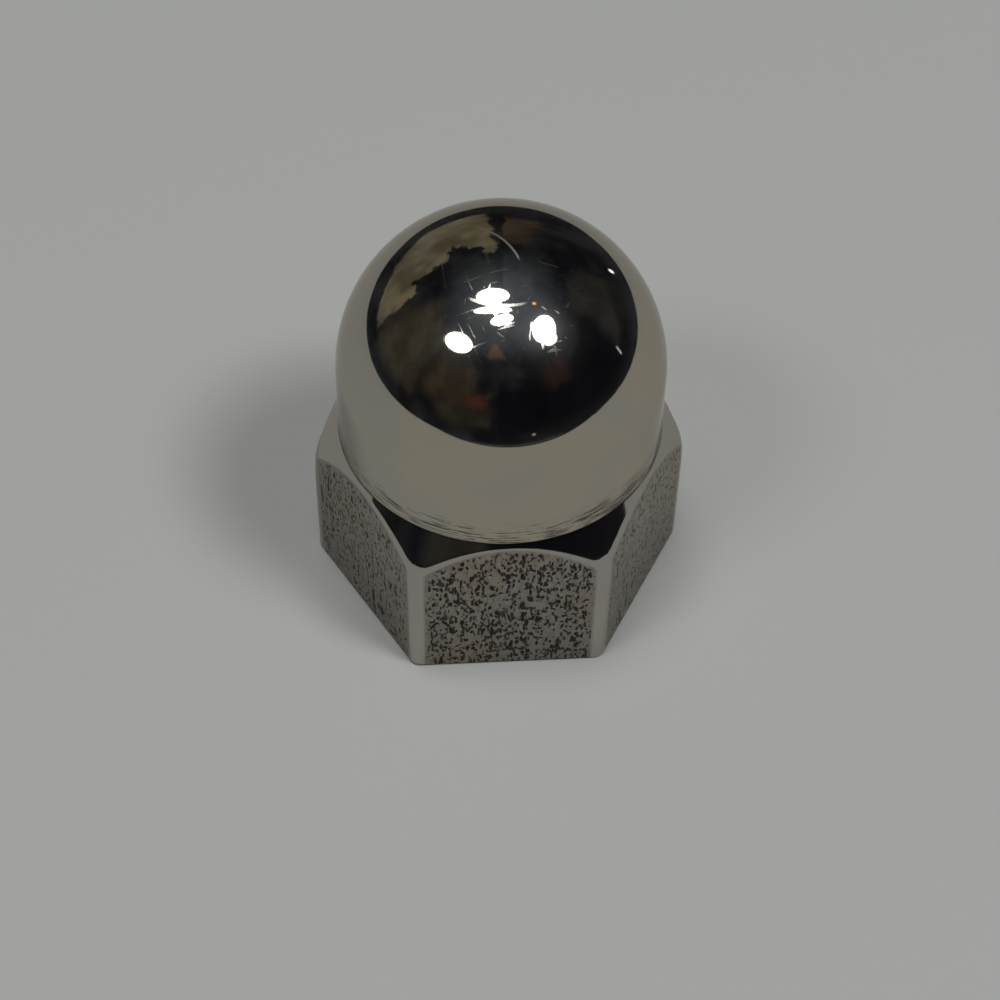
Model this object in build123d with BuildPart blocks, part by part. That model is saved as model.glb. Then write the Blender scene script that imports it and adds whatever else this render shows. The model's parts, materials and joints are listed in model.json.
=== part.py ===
"""High-crown cap nut: one solid, turned from hexagon bar, with a blind tapped hole.

Millimetres. +Z points up through the crown, and z = 0 is the bearing face.
Two corners of the hexagon lie on the X axis, so two flats face -Y and +Y.
"""

from math import acos, atan2, cos, hypot, radians, sin, tan
import os

from build123d import *

os.makedirs("parts", exist_ok=True)

# Sizes of the outside
across_flats = 11.11
overall_height = 14.5
corner_rounding = 0.45  # radius on the six upright corners
bearing_edge_rounding = 0.12  # radius round the bearing face

# The shoulder is the steep cone that the turning leaves on the corners
shoulder_height = 6.48  # where the cone meets the foot of the crown
shoulder_slope = 60.0  # degrees down from the level
shoulder_edge_rounding = 0.1  # radius where the cone meets the flats
foot_inset = 0.105  # how far the foot of the crown stands in from the flats
crown_inset = 0.115  # how far the ball of the crown stands in from the flats

# Sizes of the tapped hole, 1/4-20 UNC
thread_diameter = 6.35
tapping_drill_diameter = 5.11
drill_point_angle = 118.0
crown_wall = 2.35  # metal left between the drill's point and the top of the crown
mouth_clearance = 0.45  # how much wider than the thread the countersink opens
mouth_angle = 90.0

# Sizes that follow from those above
half_flats = across_flats / 2
corner_radius = half_flats / cos(radians(30))
crown_radius = half_flats - crown_inset
crown_centre = overall_height - crown_radius
foot_radius = half_flats - foot_inset
drill_radius = tapping_drill_diameter / 2
drill_point_height = overall_height - crown_wall
drill_end_height = drill_point_height - drill_radius / tan(radians(drill_point_angle / 2))
mouth_radius = (thread_diameter + mouth_clearance) / 2
mouth_depth = (mouth_radius - drill_radius) / tan(radians(mouth_angle / 2))

# The side of the crown is the line from its foot that just touches the ball
foot_drop = crown_centre - shoulder_height
foot_distance = hypot(foot_radius, foot_drop)
touch_angle = acos(crown_radius / foot_distance) - atan2(foot_drop, foot_radius)
touch_radius = crown_radius * cos(touch_angle)
touch_height = crown_centre + crown_radius * sin(touch_angle)
mid_angle = radians(45)

# The cone is carried past the corners, down to cone_outer_height
cone_outer_radius = corner_radius + 1.0
cone_outer_height = shoulder_height - (cone_outer_radius - foot_radius) * tan(radians(shoulder_slope))

with BuildPart() as cap_nut:
    # Hexagon bar
    with BuildSketch() as bar_section:
        RegularPolygon(radius=half_flats, side_count=6, major_radius=False)
        fillet(bar_section.vertices(), radius=corner_rounding)
    extrude(amount=overall_height)

    # Turned outline: upright to the cone, then shoulder, crown side and ball
    with BuildSketch(Plane.XZ) as turned_section:
        with BuildLine():
            Polyline(
                (0, overall_height),
                (0, 0),
                (cone_outer_radius, 0),
                (cone_outer_radius, cone_outer_height),
                (foot_radius, shoulder_height),
                (touch_radius, touch_height),
            )
            ThreePointArc(
                (touch_radius, touch_height),
                (crown_radius * cos(mid_angle), crown_centre + crown_radius * sin(mid_angle)),
                (0, overall_height),
            )
        make_face()
    revolve(axis=Axis.Z, mode=Mode.INTERSECT)

    # Softened edges: the arcs above the flats, then the rim of the bearing face
    arc_edges = cap_nut.edges().filter_by(
        lambda edge: edge.geom_type != GeomType.LINE
        and 0.1 < edge.center().Z
        and edge.bounding_box().max.Z < shoulder_height - 0.01
    )
    fillet(arc_edges, radius=shoulder_edge_rounding)
    rim_edges = cap_nut.edges().group_by(Axis.Z)[0]
    fillet(rim_edges, radius=bearing_edge_rounding)

    # Blind tapped hole: countersunk mouth, drilled wall, conical drill point
    with BuildSketch(Plane.XZ) as hole_section:
        with BuildLine():
            Polyline(
                (0, 0),
                (mouth_radius, 0),
                (drill_radius, mouth_depth),
                (drill_radius, drill_end_height),
                (0, drill_point_height),
                close=True,
            )
        make_face()
    revolve(axis=Axis.Z, mode=Mode.SUBTRACT)

cap_nut.part.label = "cap_nut"
export_step(cap_nut.part, "parts/cap_nut.step")
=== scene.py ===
"""Looks of the high-crown cap nut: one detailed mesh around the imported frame, steel materials, floor, room and camera."""

import json
import math

import bpy
import numpy as np
from mathutils import Matrix, Vector


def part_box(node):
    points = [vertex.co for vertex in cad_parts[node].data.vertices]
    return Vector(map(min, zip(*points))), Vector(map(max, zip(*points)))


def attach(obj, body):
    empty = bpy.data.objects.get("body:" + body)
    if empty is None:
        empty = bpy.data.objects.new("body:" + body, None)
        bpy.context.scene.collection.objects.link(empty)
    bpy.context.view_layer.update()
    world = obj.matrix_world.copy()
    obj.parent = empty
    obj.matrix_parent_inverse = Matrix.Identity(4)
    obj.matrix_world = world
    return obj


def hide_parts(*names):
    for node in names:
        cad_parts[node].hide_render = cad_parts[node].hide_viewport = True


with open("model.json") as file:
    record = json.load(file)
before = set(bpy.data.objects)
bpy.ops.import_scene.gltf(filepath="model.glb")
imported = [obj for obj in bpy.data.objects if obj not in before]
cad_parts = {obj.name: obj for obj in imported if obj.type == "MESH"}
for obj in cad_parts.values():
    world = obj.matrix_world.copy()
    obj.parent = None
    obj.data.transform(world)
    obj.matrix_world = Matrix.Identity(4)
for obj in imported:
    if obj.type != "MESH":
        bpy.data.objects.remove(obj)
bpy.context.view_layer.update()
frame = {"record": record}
MM = 0.001

# ---------------------------------------------------------------- sizes, in millimetres, from the frame
low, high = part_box("cap_nut")
HALF_FLATS = (high[1] - low[1]) / 2 / MM
HEIGHT = (high[2] - low[2]) / MM
thread_mount = next(m for m in frame["record"]["mounts"] if m["name"] == "thread")
DRILL_R = thread_mount["dims"]["r_mm"]

CROWN_R = HALF_FLATS - 0.115
CROWN_Z = HEIGHT - CROWN_R
FOOT_R = HALF_FLATS - 0.105
FOOT_Z = 6.48
SLOPE = math.tan(math.radians(60.0))
CORNER_ROUND = 0.45
BEARING_ROUND = 0.12
MOUTH_R = 3.4
THREAD_R = 3.175
PITCH = 1.27
DRILL_TIP_Z = HEIGHT - 2.35
DRILL_END_Z = DRILL_TIP_Z - DRILL_R / math.tan(math.radians(59.0))
THREAD_END_Z = 8.4


# ---------------------------------------------------------------- the nut's mesh
def smooth_max(a, b, k):
    h = np.maximum(k - np.abs(a - b), 0.0) / k
    return np.maximum(a, b) + h * h * k / 4.0


def from_corner(theta):
    """Angle from the nearest upright corner, up to 30 degrees at the middle of a flat."""
    return np.abs((theta + math.pi / 6) % (math.pi / 3) - math.pi / 6)


def arc_height(theta):
    """Height at which the cone of the shoulder meets the flats."""
    return FOOT_Z - (HALF_FLATS / np.cos(math.pi / 6 - from_corner(theta)) - FOOT_R) * SLOPE


def hexagon_distance(x, y, k):
    out = None
    for i in range(6):
        a = math.radians(30 + 60 * i)
        d = x * math.cos(a) + y * math.sin(a) - HALF_FLATS
        out = d if out is None else smooth_max(out, d, k)
    return out


def outer_radius(theta, z):
    """Radius of the hexagon with its turned shoulder, all its edges softened as by buffing."""
    near = 1.0 - from_corner(theta) / (math.pi / 6)
    edge_z = arc_height(theta)
    worn = np.clip(1.0 - (edge_z - z) / 1.3, 0.0, 1.0) ** 2
    k_corner = 0.536 * CORNER_ROUND * (1.0 + 0.9 * worn)
    k_cone = 0.03 + 0.16 * near**1.5
    cos_slope = 1.0 / math.hypot(1.0, SLOPE)
    lo = np.full(np.broadcast(theta, z).shape, 3.0)
    hi = np.full_like(lo, 8.0)
    for _ in range(36):
        mid = (lo + hi) / 2
        d = hexagon_distance(mid * np.cos(theta), mid * np.sin(theta), k_corner)
        cone = ((mid - FOOT_R) * SLOPE - (FOOT_Z - z)) * cos_slope
        d = smooth_max(d, cone, k_cone)
        lo = np.where(d < 0, mid, lo)
        hi = np.where(d < 0, hi, mid)
    return (lo + hi) / 2


def sector_angles():
    """Angles of one sixth of the outside, crowded towards the corners at both ends."""
    gaps = [0.35] * 9 + [0.6] * 5 + [0.9] * 5
    half = np.cumsum([0.0] + gaps)
    rest = np.linspace(half[-1], 60 - half[-1], 81 - 2 * len(half) + 2)[1:-1]
    return np.radians(np.concatenate([half, rest, 60 - half[::-1]])[:-1])


sector = sector_angles()
COLUMNS = 6 * len(sector)
BORE_COLUMNS = COLUMNS // 4
theta_out = np.concatenate([sector + math.pi / 3 * i for i in range(6)])
theta_in = np.arange(BORE_COLUMNS) * 2 * math.pi / BORE_COLUMNS

verts, faces, rings = [], [], []


def ring(theta, radius, z):
    """Adds a ring of vertices and returns its indices."""
    radius = np.broadcast_to(radius, theta.shape)
    z = np.broadcast_to(z, theta.shape)
    start = len(verts)
    verts.extend(zip((radius * np.cos(theta)).tolist(), (radius * np.sin(theta)).tolist(), z.tolist()))
    return list(range(start, start + len(theta)))


def band(below, above):
    n = len(below)
    for i in range(n):
        j = (i + 1) % n
        faces.append((below[i], below[j], above[j], above[i]))


# Outside, from the bearing face up. Rows follow the arcs where the shoulder meets the flats.
arc_z = arc_height(theta_out)
arc_z = np.maximum(arc_z, arc_z.min() + 0.08)
outside = []
for t in np.linspace(0.0, 1.0, 7):
    a = math.radians(90 * t)
    z = BEARING_ROUND * (1 - math.cos(a))
    inset = BEARING_ROUND * (1 - math.sin(a))
    outside.append(ring(theta_out, outer_radius(theta_out, np.full_like(theta_out, BEARING_ROUND)) - inset, z))
below_arc = [1.6, 1.15, 0.8, 0.56, 0.4, 0.3, 0.23, 0.175, 0.13, 0.09, 0.055, 0.025, 0.0]
for t in np.linspace(0, 1, 9)[1:-1]:
    z = BEARING_ROUND + (arc_z - below_arc[0] - BEARING_ROUND) * t
    outside.append(ring(theta_out, outer_radius(theta_out, z), z))
for off in below_arc:
    z = arc_z - off
    outside.append(ring(theta_out, outer_radius(theta_out, z), z))
for t in (0.05, 0.11, 0.18, 0.26, 0.35, 0.45, 0.56, 0.67, 0.78, 0.88, 0.95, 1.0):
    z = arc_z + (FOOT_Z - arc_z) * t
    outside.append(ring(theta_out, outer_radius(theta_out, z), z))

# Side of the crown from its foot, then its ball
drop = CROWN_Z - FOOT_Z
touch = math.acos(CROWN_R / math.hypot(FOOT_R, drop)) - math.atan2(drop, FOOT_R)
touch_r, touch_z = CROWN_R * math.cos(touch), CROWN_Z + CROWN_R * math.sin(touch)
foot_ring = outside[-1]
for dz in (0.03, 0.08, 0.16):
    t = dz / (touch_z - FOOT_Z)
    outside.append(ring(theta_out, FOOT_R + (touch_r - FOOT_R) * t, FOOT_Z + dz))
for t in np.linspace(0.0, 1.0, 16)[1:]:
    z = FOOT_Z + 0.16 + (touch_z - FOOT_Z - 0.16) * t
    outside.append(ring(theta_out, FOOT_R + (touch_r - FOOT_R) * (z - FOOT_Z) / (touch_z - FOOT_Z), z))
for t in np.linspace(0.0, 1.0, 62)[1:-1]:
    a = touch + (math.pi / 2 - touch) * t
    outside.append(ring(theta_out, CROWN_R * math.cos(a), CROWN_Z + CROWN_R * math.sin(a)))
for lower, upper in zip(outside, outside[1:]):
    band(lower, upper)
verts.append((0.0, 0.0, CROWN_Z + CROWN_R))
top = len(verts) - 1
for i in range(COLUMNS):
    faces.append((outside[-1][i], outside[-1][(i + 1) % COLUMNS], top))

# Bearing face, from its rounded rim in to the mouth of the hole
uniform = np.arange(COLUMNS) * 2 * math.pi / COLUMNS
rim_radius = outer_radius(theta_out, np.full_like(theta_out, BEARING_ROUND)) - BEARING_ROUND
previous = outside[0]
MOUTH_ROUND = 0.05
for t in (0.2, 0.45, 0.7, 1.0):
    theta = theta_out + (uniform - theta_out) * t
    radius = rim_radius + (MOUTH_R + 0.35 - rim_radius) * t
    current = ring(theta, radius, 0.0)
    band(current, previous)
    previous = current
inner = ring(theta_in, MOUTH_R + MOUTH_ROUND, 0.0)
for j in range(BORE_COLUMNS):
    i0, i1 = inner[j], inner[(j + 1) % BORE_COLUMNS]
    o = [previous[(4 * j + s) % COLUMNS] for s in range(5)]
    faces.extend([(i0, o[1], o[0]), (i0, o[2], o[1]), (i0, i1, o[2]), (i1, o[3], o[2]), (i1, o[4], o[3])])


# Hole: countersink, 1/4-20 thread cut as a true right-hand helix, plain drilled end, drill point
def bore_radius(theta, z):
    phase = (z / PITCH - theta / (2 * math.pi)) % 1.0
    tooth = np.abs(phase - 0.5) * 2.0
    cut = np.clip((tooth - 0.14) / 0.72, 0.0, 1.0)
    fade = np.clip((THREAD_END_Z + PITCH - z) / PITCH, 0.0, 1.0)
    threaded = DRILL_R + (THREAD_R - DRILL_R) * cut * fade
    return np.maximum(threaded, MOUTH_R - z)


previous = inner
for a in (30, 60, 90):
    s = math.radians(a)
    current = ring(theta_in, MOUTH_R + MOUTH_ROUND * (1 - math.sin(s)) - 0.015 * a / 90, MOUTH_ROUND * (1 - math.cos(s)) * 0.6)
    band(current, previous)
    previous = current
for z in np.arange(0.06, THREAD_END_Z + PITCH + 0.03, PITCH / 24):
    current = ring(theta_in, bore_radius(theta_in, np.full_like(theta_in, z)), z)
    band(current, previous)
    previous = current
for radius, z in ((DRILL_R, DRILL_END_Z), (DRILL_R * 0.98, DRILL_END_Z + DRILL_R * 0.02 / math.tan(math.radians(59))), (DRILL_R * 0.6, None), (DRILL_R * 0.25, None)):
    if z is None:
        z = DRILL_TIP_Z - radius / math.tan(math.radians(59.0))
    current = ring(theta_in, radius, z)
    band(current, previous)
    previous = current
verts.append((0.0, 0.0, DRILL_TIP_Z))
tip = len(verts) - 1
for i in range(BORE_COLUMNS):
    faces.append((previous[(i + 1) % BORE_COLUMNS], previous[i], tip))

points = np.array(verts)
mesh = bpy.data.meshes.new("cap_nut_steel")
mesh.from_pydata((points * MM).tolist(), [], faces)
mesh.polygons.foreach_set("use_smooth", [True] * len(mesh.polygons))
foot_set = set(foot_ring)
sharp = [edge.vertices[0] in foot_set and edge.vertices[1] in foot_set for edge in mesh.edges]
mesh.attributes.new("sharp_edge", "BOOLEAN", "EDGE").data.foreach_set("value", sharp)
nut = bpy.data.objects.new("cap_nut_steel", mesh)
bpy.context.scene.collection.objects.link(nut)

# How each point is finished: on the rough flats, near the foot of the crown, inside the hole
px, py, pz = points.T
p_theta = np.arctan2(py, px) % (2 * math.pi)
p_radius = np.hypot(px, py)
side_gap = HALF_FLATS * (math.tan(math.pi / 6) - np.tan(math.pi / 6 - from_corner(p_theta)))
p_arc = arc_height(p_theta)
face_index = np.floor(p_theta / (math.pi / 3)).astype(int) % 6
is_outside = np.arange(len(points)) <= top
on_flat = is_outside & (pz < p_arc + 0.05) & (pz > 0.0)


def step(x, a, b):
    t = np.clip((x - a) / (b - a), 0, 1)
    return t * t * (3 - 2 * t)


PITTING_OF_FACE = np.array([0.75, 0.85, 0.8, 0.8, 1.0, 0.6])
unpolished = step(side_gap, 0.30, 0.42) * step(p_arc - pz, 0.03, 0.12) * on_flat
pitted = step(side_gap, 0.34, 0.62) * step(p_arc - pz, 0.10, 0.26) * on_flat
for name, values in (
    ("flat", unpolished),
    ("pitting", PITTING_OF_FACE[face_index] * pitted),
    ("bore", (~is_outside & (p_radius < MOUTH_R + 0.01)).astype(float)),
    ("turned", (is_outside & (pz > p_arc + 0.05)).astype(float)),
):
    attribute = mesh.attributes.new(name, "FLOAT", "POINT")
    attribute.data.foreach_set("value", np.asarray(values, dtype=np.float32))


# ---------------------------------------------------------------- node helpers
class Nodes:
    """Short forms for building a node tree. Inputs are sockets, numbers or tuples."""

    def __init__(self, tree):
        self.tree = tree
        tree.nodes.clear()

    def add(self, kind, inputs=None, **settings):
        node = self.tree.nodes.new(kind)
        for key, value in settings.items():
            setattr(node, key, value)
        for key, value in (inputs or {}).items():
            socket = node.inputs[key]
            if isinstance(value, bpy.types.NodeSocket):
                self.tree.links.new(value, socket)
            else:
                socket.default_value = value
        return node

    def math(self, operation, a, b=0.0, c=0.0, clamp=False):
        return self.add("ShaderNodeMath", {0: a, 1: b, 2: c}, operation=operation, use_clamp=clamp).outputs[0]

    def vector(self, operation, a, b=(0, 0, 0)):
        node = self.add("ShaderNodeVectorMath", {0: a, 1: b}, operation=operation)
        return node.outputs[1 if operation in ("DOT_PRODUCT", "LENGTH") else 0]

    def combine(self, x, y, z):
        return self.add("ShaderNodeCombineXYZ", {0: x, 1: y, 2: z}).outputs[0]

    def separate(self, v):
        return self.add("ShaderNodeSeparateXYZ", {0: v}).outputs

    def noise(self, vector, scale, detail=2.0, rough=0.5, distortion=0.0):
        return self.add("ShaderNodeTexNoise", {"Vector": vector, "Scale": scale, "Detail": detail, "Roughness": rough, "Distortion": distortion}).outputs["Fac"]

    def ramp(self, value, a, b, to_a=0.0, to_b=1.0, kind="SMOOTHSTEP"):
        node = self.add("ShaderNodeMapRange", {0: value, 1: a, 2: b, 3: to_a, 4: to_b}, interpolation_type=kind)
        return node.outputs[0]

    def mix(self, factor, a, b, blend="MIX"):
        node = self.add("ShaderNodeMix", data_type="RGBA", blend_type=blend)
        for key, value in ((0, factor), (6, a), (7, b)):
            if isinstance(value, bpy.types.NodeSocket):
                self.tree.links.new(value, node.inputs[key])
            else:
                node.inputs[key].default_value = (*value, 1.0) if isinstance(value, tuple) and len(value) == 3 else value
        return node.outputs[2]

    def attribute(self, name):
        return self.add("ShaderNodeAttribute", attribute_name=name, attribute_type="GEOMETRY").outputs["Fac"]


# ---------------------------------------------------------------- steel
material = bpy.data.materials.new("stainless_steel_worn")
material.use_nodes = True
n = Nodes(material.node_tree)
coords = n.add("ShaderNodeTexCoord").outputs["Object"]
mm = n.vector("MULTIPLY", coords, (1 / MM, 1 / MM, 1 / MM))
x, y, z = n.separate(mm)
radius = n.math("SQRT", n.math("ADD", n.math("MULTIPLY", x, x), n.math("MULTIPLY", y, y)))
angle = n.math("ARCTAN2", y, x)
flat = n.attribute("flat")
pitting = n.attribute("pitting")
bore = n.attribute("bore")
turned_mask = n.attribute("turned")

# Pits on the flats: small upright blobs of even spacing, some larger, a few strung along the grain of the bar
upright = n.combine(x, y, n.math("MULTIPLY", z, 0.52))
wobble = n.add("ShaderNodeTexNoise", {"Vector": upright, "Scale": 6.8, "Detail": 0.5}).outputs["Color"]
bent = n.vector("ADD", upright, n.vector("MULTIPLY", n.vector("SUBTRACT", wobble, (0.5, 0.5, 0.5)), (0.24, 0.24, 0.24)))
cells = n.add("ShaderNodeTexVoronoi", {"Vector": bent, "Scale": 5.9, "Randomness": 0.8}, feature="F1")
cell_size = n.ramp(n.separate(cells.outputs["Color"])[0], 0.0, 1.0, 0.24, 0.42, kind="LINEAR")
missing = n.math("SUBTRACT", 1.0, pitting)
cell_size = n.math("SUBTRACT", cell_size, n.math("MULTIPLY", missing, 0.30))
round_pits = n.ramp(n.math("SUBTRACT", cells.outputs["Distance"], cell_size), -0.04, 0.06, 1.0, 0.0)
fine = n.math("SUBTRACT", n.noise(upright, 10.0, 0.0, 0.5, 0.0), n.math("MULTIPLY", missing, 0.16))
fine_pits = n.ramp(fine, 0.60, 0.68)
along_grain = n.combine(n.math("MULTIPLY", x, 4.2), n.math("MULTIPLY", y, 4.2), n.math("MULTIPLY", z, 0.45))
strings = n.math("MULTIPLY", n.ramp(n.noise(along_grain, 1.2, 0.5, 0.5), 0.67, 0.72), n.ramp(n.noise(mm, 2.6, 1.0), 0.44, 0.52))
strings = n.math("MULTIPLY", strings, n.ramp(pitting, 0.3, 0.6))
pits = n.math("MAXIMUM", n.math("MAXIMUM", round_pits, n.math("MULTIPLY", fine_pits, 0.85)), strings)
pits = n.math("MULTIPLY", pits, n.ramp(pitting, 0.04, 0.3))

# Turning streaks near the foot of the crown, and a painted shade line in the crease there
from_axis = n.combine(n.math("COSINE", angle), n.math("SINE", angle), 0.0)
around = n.vector("ADD", n.vector("MULTIPLY", from_axis, (3.0, 3.0, 0.0)), n.combine(0.0, 0.0, n.math("MULTIPLY", z, 12.0)))
lines = n.noise(around, 1.7, 3.0, 0.65)
above_foot = n.math("SUBTRACT", z, FOOT_Z)
near_foot = n.math("MULTIPLY", n.ramp(above_foot, 0.1, 1.2, 0.07, 0.0), n.ramp(above_foot, 0.0, 0.05))
busy_side = n.ramp(n.vector("DOT_PRODUCT", from_axis, (0.80, -0.60, 0.0)), 0.80, 1.0, 0.0, 0.06)
turning_dark = n.math("MULTIPLY", n.ramp(n.math("ADD", n.math("ADD", lines, busy_side), near_foot), 0.58, 0.63), n.math("MULTIPLY", turned_mask, n.ramp(above_foot, 0.4, 1.3, 1.0, 0.0)))
turning_dark = n.math("MULTIPLY", turning_dark, n.ramp(above_foot, 0.0, 0.05))
# Painted shade: a thin dark band along the crease where the shoulder meets the foot of the crown
crease_shade = n.math("MULTIPLY", n.ramp(n.math("ABSOLUTE", above_foot), 0.012, 0.045, 1.0, 0.0), n.ramp(n.noise(mm, 1.5, 2.0), 0.3, 0.5, 0.55, 1.0))

# Top of the crown: sparse hairlines and specks, and a few longer curved scratches
from_ball = n.vector("MULTIPLY", n.vector("SUBTRACT", mm, (0, 0, CROWN_Z)), (1 / CROWN_R,) * 3)
handled = n.ramp(n.vector("DOT_PRODUCT", from_ball, (0.05, -0.26, 0.96)), 0.80, 0.95)
handled = n.math("MULTIPLY", handled, turned_mask)
hairlines = None
for tilt, spin in ((0.4, 0.5), (-0.5, 1.3), (0.3, 2.1), (-0.3, 2.8)):
    turned_mm = n.add("ShaderNodeVectorRotate", {"Vector": mm, "Rotation": (tilt, 0.3, spin)}, rotation_type="EULER_XYZ").outputs[0]
    hair = n.ramp(n.noise(n.vector("MULTIPLY", turned_mm, (11.0, 0.9, 3.0)), 1.0, 0.0), 0.745, 0.80)
    hairlines = hair if hairlines is None else n.math("MAXIMUM", hairlines, hair)
specks = n.add("ShaderNodeTexVoronoi", {"Vector": mm, "Scale": 2.6}, feature="F1")
speck = n.ramp(specks.outputs["Distance"], 0.035, 0.075, 1.0, 0.0)
wear = n.math("MULTIPLY", n.math("MULTIPLY", n.math("MAXIMUM", hairlines, speck), handled), 0.30)


def on_ball(azimuth_deg, from_top_deg):
    a, t = math.radians(azimuth_deg), math.radians(from_top_deg)
    return Vector((math.sin(a) * math.sin(t), -math.cos(a) * math.sin(t), math.cos(t)))


SCRATCHES = (
    # two ends and a point between them, each as azimuth and angle from the top, then half width in mm and strength
    ((-140, 15), (148, 2), (35, 9), 0.020, 1.0),
    ((-84, 21), (-70, 22), (-54, 25), 0.022, 0.35),
    ((-37, 23), (-9, 23), (19, 23), 0.018, 0.5),
    ((18, 37), (22, 36), (27, 36), 0.025, 0.8),
    ((60, 12), (64, 16), (68, 20), 0.012, 0.5),
)
for start, middle, end, half_width, strength in SCRATCHES:
    p0, p1, p2 = on_ball(*start), on_ball(*middle), on_ball(*end)
    normal = (p1 - p0).cross(p2 - p0).normalized()
    off_line = n.math("ABSOLUTE", n.math("SUBTRACT", n.vector("DOT_PRODUCT", from_ball, tuple(normal)), normal.dot(p1)))
    wide = n.ramp(off_line, half_width / CROWN_R * 0.4, half_width / CROWN_R * 1.6, strength, 0.0)
    reach = (p2 - p0).length / 2
    centre = (p0 + p2) / 2
    away = n.vector("LENGTH", n.vector("SUBTRACT", from_ball, tuple(centre)))
    long = n.ramp(away, reach * 0.75, reach * 1.02, 1.0, 0.0)
    wear = n.math("MAXIMUM", wear, n.math("MULTIPLY", n.math("MULTIPLY", wide, long), turned_mask))

tint = n.noise(mm, 0.35, 2.0)
steel = n.mix(n.ramp(tint, 0.35, 0.65), (0.465, 0.425, 0.335), (0.43, 0.405, 0.355))
steel = n.mix(n.ramp(above_foot, -0.06, 0.0, 1.0, 0.0), steel, (0.425, 0.405, 0.365))
rolled = n.mix(n.ramp(n.noise(mm, 0.42, 1.0), 0.35, 0.65), (0.252, 0.212, 0.152), (0.245, 0.230, 0.212))
dappled = n.ramp(n.noise(upright, 6.0, 2.0), 0.35, 0.65, 0.78, 1.24)
rolled = n.vector("MULTIPLY", rolled, n.combine(dappled, dappled, dappled))
# Painted shade: the rough flats are darkened towards the bearing face
rolled = n.mix(n.ramp(z, 0.3, 5.8, 0.62, 0.0, kind="LINEAR"), rolled, (0.13, 0.11, 0.083))
steel = n.mix(n.math("MULTIPLY", flat, 0.75), steel, rolled)
steel = n.mix(n.math("MULTIPLY", pits, 0.97), steel, (0.013, 0.011, 0.009))
steel = n.mix(n.math("MULTIPLY", turning_dark, 0.92), steel, (0.035, 0.030, 0.024))
# Painted shade: the dark line along the crease at the foot of the crown
steel = n.mix(n.math("MULTIPLY", crease_shade, 0.85), steel, (0.03, 0.027, 0.022))
grain = n.noise(mm, 9.0, 3.0, 0.7)
roughness = n.math("ADD", 0.04, n.math("MULTIPLY", flat, n.ramp(grain, 0.3, 0.7, 0.20, 0.34)))
roughness = n.math("ADD", roughness, n.math("MULTIPLY", bore, 0.22))
roughness = n.math("ADD", roughness, n.math("MULTIPLY", pits, 0.4))
roughness = n.math("ADD", roughness, n.math("MULTIPLY", wear, 0.42), clamp=True)

height = n.math("ADD", n.math("MULTIPLY", pits, -0.035), n.math("MULTIPLY", n.math("MULTIPLY", grain, flat), 0.012))
height = n.math("SUBTRACT", height, n.math("MULTIPLY", flat, 0.02))
bump = n.add("ShaderNodeBump", {"Strength": 1.0, "Distance": MM, "Height": height}).outputs[0]
shader = n.add(
    "ShaderNodeBsdfPrincipled",
    {
        "Base Color": steel,
        "Metallic": 1.0,
        "Roughness": roughness,
        "Normal": bump,
        "Specular Tint": (0.74, 0.72, 0.68, 1.0),
        "Coat Weight": 0.32,
        "Coat Roughness": 0.33,
    },
)
n.add("ShaderNodeOutputMaterial", {"Surface": shader.outputs[0]})
mesh.materials.append(material)

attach(nut, "root")
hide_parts("cap_nut")

# ---------------------------------------------------------------- floor
FLOOR_RADIUS = 0.105
FLOOR_DROP = 0.00001
FLOOR_GREY = (0.378, 0.384, 0.372)
TABLE_FRONT = 0.064
FRONT_WAY = Vector((0.17, -0.985, 0.0))
floor_points = []
for i in range(256):
    turn = 2 * math.pi * i / 256
    way = Vector((math.cos(turn), math.sin(turn), 0.0))
    reach = min(FLOOR_RADIUS, TABLE_FRONT / max(way.dot(FRONT_WAY), 0.01))
    floor_points.append((way.x * reach, way.y * reach, -FLOOR_DROP))
floor_mesh = bpy.data.meshes.new("floor")
floor_mesh.from_pydata(floor_points, [], [list(range(len(floor_points)))])
floor = bpy.data.objects.new("floor", floor_mesh)
bpy.context.scene.collection.objects.link(floor)
floor_material = bpy.data.materials.new("floor_pale")
floor_material.use_nodes = True
fn = Nodes(floor_material.node_tree)
floor_shader = fn.add("ShaderNodeBsdfPrincipled", {"Base Color": (*FLOOR_GREY, 1.0), "Roughness": 0.9, "Specular IOR Level": 0.2})
fn.add("ShaderNodeOutputMaterial", {"Surface": floor_shader.outputs[0]})
floor.data.materials.append(floor_material)

# ---------------------------------------------------------------- room: pale below the table's edge, dark above, a few dim walls
ROOM_TURN = math.radians(-4.66)
world = bpy.data.worlds.new("room")
bpy.context.scene.world = world
world.use_nodes = True
w = Nodes(world.node_tree)
direction = w.add("ShaderNodeTexCoord").outputs["Generated"]
direction = w.add("ShaderNodeVectorRotate", {"Vector": direction, "Angle": -ROOM_TURN}, rotation_type="Z_AXIS").outputs[0]
sway = w.add("ShaderNodeTexNoise", {"Vector": direction, "Scale": 5.0, "Detail": 3.0, "Roughness": 0.6}).outputs["Color"]
swayed = w.vector("ADD", direction, w.vector("MULTIPLY", w.vector("SUBTRACT", sway, (0.5, 0.5, 0.5)), (0.22, 0.22, 0.22)))
dx, dy, dz = w.separate(swayed)
azimuth = w.math("MULTIPLY", w.math("ARCTAN2", dx, w.math("MULTIPLY", dy, -1.0)), 180 / math.pi)
elevation = w.math("MULTIPLY", w.math("ARCSINE", dz), 180 / math.pi)
cx, cy, cz = w.separate(direction)
true_azimuth = w.math("MULTIPLY", w.math("ARCTAN2", cx, w.math("MULTIPLY", cy, -1.0)), 180 / math.pi)
true_elevation = w.math("MULTIPLY", w.math("ARCSINE", cz), 180 / math.pi)


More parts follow.
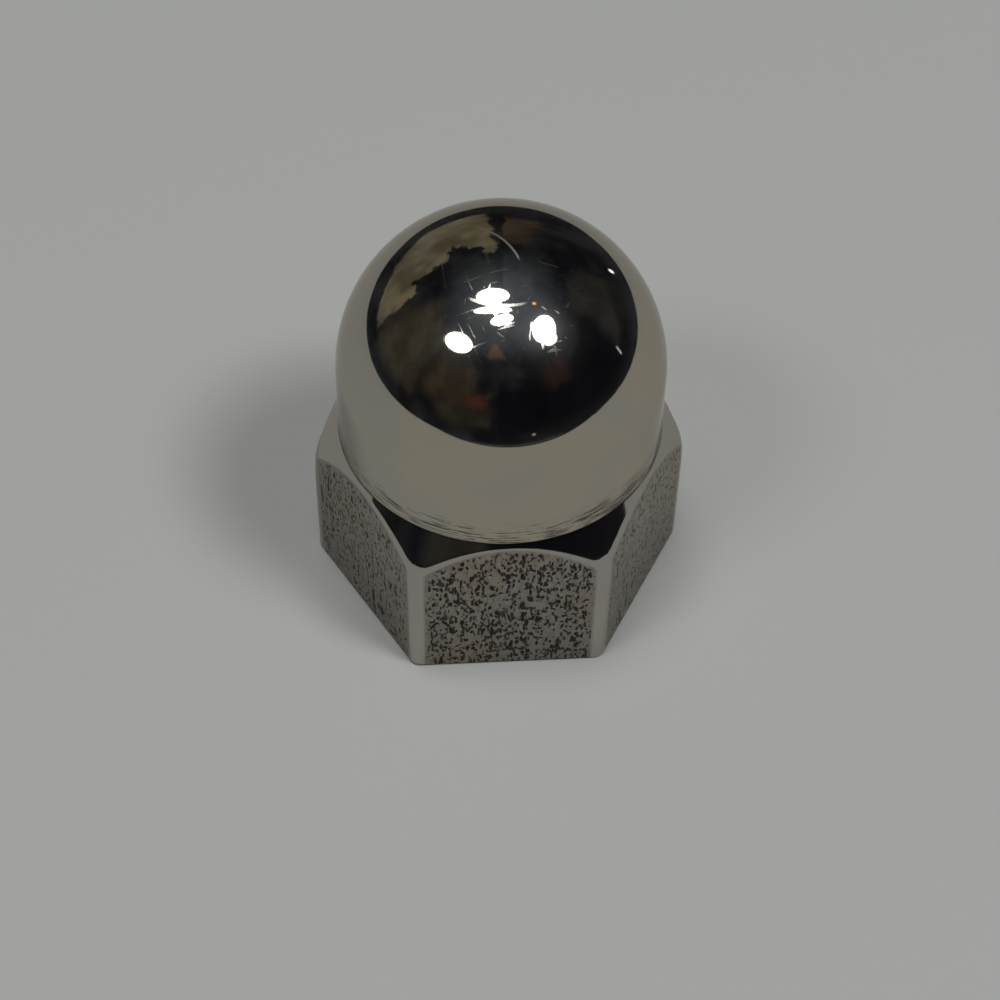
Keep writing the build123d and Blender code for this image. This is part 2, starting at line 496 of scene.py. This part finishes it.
def patch(az0, az1, el0, el1, soft, az=None, el=None):
    az, el = az or azimuth, el or elevation
    a = w.math("MULTIPLY", w.ramp(az, az0 - soft, az0 + soft), w.ramp(az, az1 - soft, az1 + soft, 1.0, 0.0))
    b = w.math("MULTIPLY", w.ramp(el, el0 - soft, el0 + soft), w.ramp(el, el1 - soft, el1 + soft, 1.0, 0.0))
    return w.math("MULTIPLY", a, b)


cloudy = w.noise(direction, 2.6, 2.0)
room = w.mix(w.ramp(cloudy, 0.35, 0.65), (0.006, 0.007, 0.010), (0.024, 0.026, 0.032))
WALLS = (
    # azimuth from, to, elevation from, to, softness, colour
    (-104, -62, 4, 50, 6.0, (0.062, 0.058, 0.044)),
    (-58, -20, 12, 42, 6.0, (0.050, 0.039, 0.027)),
    (-24, -10, 15, 25, 4.0, (0.10, 0.042, 0.027)),
    (-40, -5, 2, 14, 5.0, (0.036, 0.034, 0.028)),
    (-12, 1, 51, 61, 3.0, (0.14, 0.082, 0.055)),
    (98, 130, 12, 44, 6.0, (0.036, 0.035, 0.034)),
    (-4, 96, -2, 34, 6.0, (0.005, 0.005, 0.008)),
    (36, 58, 26, 40, 5.0, (0.040, 0.021, 0.016)),
    (166, 186, 12, 40, 4.0, (0.060, 0.046, 0.036)),
)
for az0, az1, el0, el1, soft, colour in WALLS:
    room = w.mix(patch(az0, az1, el0, el1, soft), room, colour)

# The lit wall behind on the left, its torn upper edge rising away from the nut
wall_top = w.math("ADD", w.ramp(azimuth, -172, -106, 47, 23, kind="LINEAR"), w.ramp(w.noise(direction, 6.0, 2.0, 0.5), 0.3, 0.7, -7, 7, kind="LINEAR"))
wall = w.math("MULTIPLY", patch(-174, -107, 4.5, 90, 1.5), w.ramp(w.math("SUBTRACT", elevation, wall_top), -1.2, 1.2, 1.0, 0.0))
wall_colour = w.mix(w.ramp(w.noise(direction, 3.0, 2.0), 0.3, 0.7), (0.115, 0.105, 0.070), (0.205, 0.185, 0.135))
room = w.mix(wall, room, wall_colour)
clutter = w.ramp(w.noise(direction, 3.6, 3.0, 0.55), 0.40, 0.60, 0.75, 1.12)
room = w.vector("MULTIPLY", room, w.combine(clutter, clutter, clutter))
ceiling = w.math("MULTIPLY", w.ramp(true_elevation, 46, 70), w.ramp(w.noise(direction, 5.0, 2.0), 0.3, 0.7, 0.7, 1.0))
ceiling = w.math("MULTIPLY", ceiling, w.ramp(true_azimuth, -150, -60, 0.45, 1.0))
room = w.mix(ceiling, room, (0.062, 0.080, 0.098), "ADD")
GLINTS = (
    (137.3, 138.5, 2.6, 5.4, 0.5, (6.0, 5.8, 5.4)),
    (94.6, 95.6, 4.0, 9.5, 0.5, (1.0, 1.0, 1.1)),
    (93.0, 98.0, 69.3, 71.2, 0.8, (2.6, 1.2, 0.45)),
    (20.0, 22.0, -3.5, -2.0, 0.5, (0.5, 0.5, 0.5)),
)
for az0, az1, el0, el1, soft, colour in GLINTS:
    room = w.mix(patch(az0, az1, el0, el1, soft, true_azimuth, true_elevation), room, colour)
ahead = w.vector("DOT_PRODUCT", direction, tuple(FRONT_WAY))
table_edge = w.math("ADD", w.math("MULTIPLY", w.math("MULTIPLY", cy, cy), -1.2), w.ramp(w.noise(direction, 3.5, 2.0), 0.3, 0.7, -7.2, -6.0, kind="LINEAR"))
table_edge = w.math("MINIMUM", table_edge, w.math("MULTIPLY", ahead, -10.8))
above_edge = w.math("SUBTRACT", true_elevation, table_edge)
rim_line = w.math("MULTIPLY", w.ramp(w.math("ABSOLUTE", w.math("SUBTRACT", above_edge, 1.6)), 0.2, 0.6, 1.0, 0.0), w.ramp(ahead, 0.82, 0.93))
room = w.mix(rim_line, room, (0.085, 0.085, 0.08))
room = w.mix(w.ramp(above_edge, -0.4, 0.4, 1.0, 0.0), room, FLOOR_GREY)
background = w.add("ShaderNodeBackground", {"Color": room, "Strength": 1.0})
w.add("ShaderNodeOutputWorld", {"Surface": background.outputs[0]})

# ---------------------------------------------------------------- lamps: soft, overhead
LAMP_DISTANCE = 0.6
CROWN_CENTRE = Vector((0, 0, CROWN_Z * MM))
LAMP_GLOW = 13.0


def room_direction(azimuth_deg, elevation_deg):
    a, e = math.radians(azimuth_deg) + ROOM_TURN, math.radians(elevation_deg)
    return Vector((math.sin(a) * math.cos(e), -math.cos(a) * math.cos(e), math.sin(e)))


def lamp(name, azimuth_deg, elevation_deg, wide, tall, tilt, colour, overhead=False, shape="ELLIPSE", glow=LAMP_GLOW):
    """An area lamp whose half sizes, seen from the crown, are wide and tall degrees."""
    out = room_direction(azimuth_deg, elevation_deg)
    reference = Matrix.Rotation(ROOM_TURN, 3, "Z") @ Vector((0, 1, 0)) if overhead else Vector((0, 0, 1))
    across_axis = reference.cross(out).normalized()
    across_axis = Matrix.Rotation(math.radians(tilt), 3, out) @ across_axis
    up_axis = out.cross(across_axis)
    light = bpy.data.lights.new(name, "AREA")
    light.shape = shape
    light.size = 2 * LAMP_DISTANCE * math.tan(math.radians(wide))
    light.size_y = 2 * LAMP_DISTANCE * math.tan(math.radians(tall))
    area = light.size * light.size_y * (math.pi / 4 if shape == "ELLIPSE" else 1.0)
    light.energy = glow * area * math.pi
    light.color = colour
    holder = bpy.data.objects.new(name, light)
    bpy.context.scene.collection.objects.link(holder)
    rotation = Matrix((across_axis, up_axis, out)).transposed().to_4x4()
    holder.matrix_world = Matrix.Translation(CROWN_CENTRE + out * LAMP_DISTANCE) @ rotation


WHITE = (1.0, 1.0, 1.0)
lamp("lamp_top_a", -129, 82.2, 10.0, 5.2, 0, WHITE, overhead=True)
lamp("lamp_top_b", -49, 81.9, 12.0, 2.3, 0, WHITE, overhead=True)
lamp("lamp_top_c", -1, 77.8, 7.4, 3.3, 16, WHITE, overhead=True)
lamp("lamp_right", 62.8, 58.8, 9.3, 7.4, 14, WHITE, glow=16.5)
lamp("lamp_right_low", 61.0, 55.4, 4.6, 5.4, 14, WHITE, glow=12.0)
lamp("lamp_left", -50.5, 51.6, 9.8, 6.1, 17, WHITE, glow=9.0)

# ---------------------------------------------------------------- camera
PITCH_DOWN = math.radians(50.93)
ROLL = math.radians(1.285)
DISTANCE = 83.12 * MM
LENS = 83.43
AIM_LEFT, AIM_DOWN = 0.087 * MM, 1.266 * MM
right = Vector((1, 0, 0))
forward = Vector((0, math.cos(PITCH_DOWN), -math.sin(PITCH_DOWN)))
up = right.cross(forward)
right, up = right * math.cos(ROLL) + up * math.sin(ROLL), up * math.cos(ROLL) - right * math.sin(ROLL)
place = right * AIM_LEFT + up * AIM_DOWN - forward * DISTANCE
camera_data = bpy.data.cameras.new("camera")
camera_data.sensor_width = 36.0
camera_data.lens = LENS
camera_data.clip_start = 0.001
camera = bpy.data.objects.new("camera", camera_data)
bpy.context.scene.collection.objects.link(camera)
basis = Matrix((right, up, -forward)).transposed().to_4x4()
camera.matrix_world = Matrix.Rotation(ROOM_TURN, 4, "Z") @ Matrix.Translation(place) @ basis
bpy.context.scene.camera = camera
bpy.context.scene.view_settings.view_transform = "Standard"
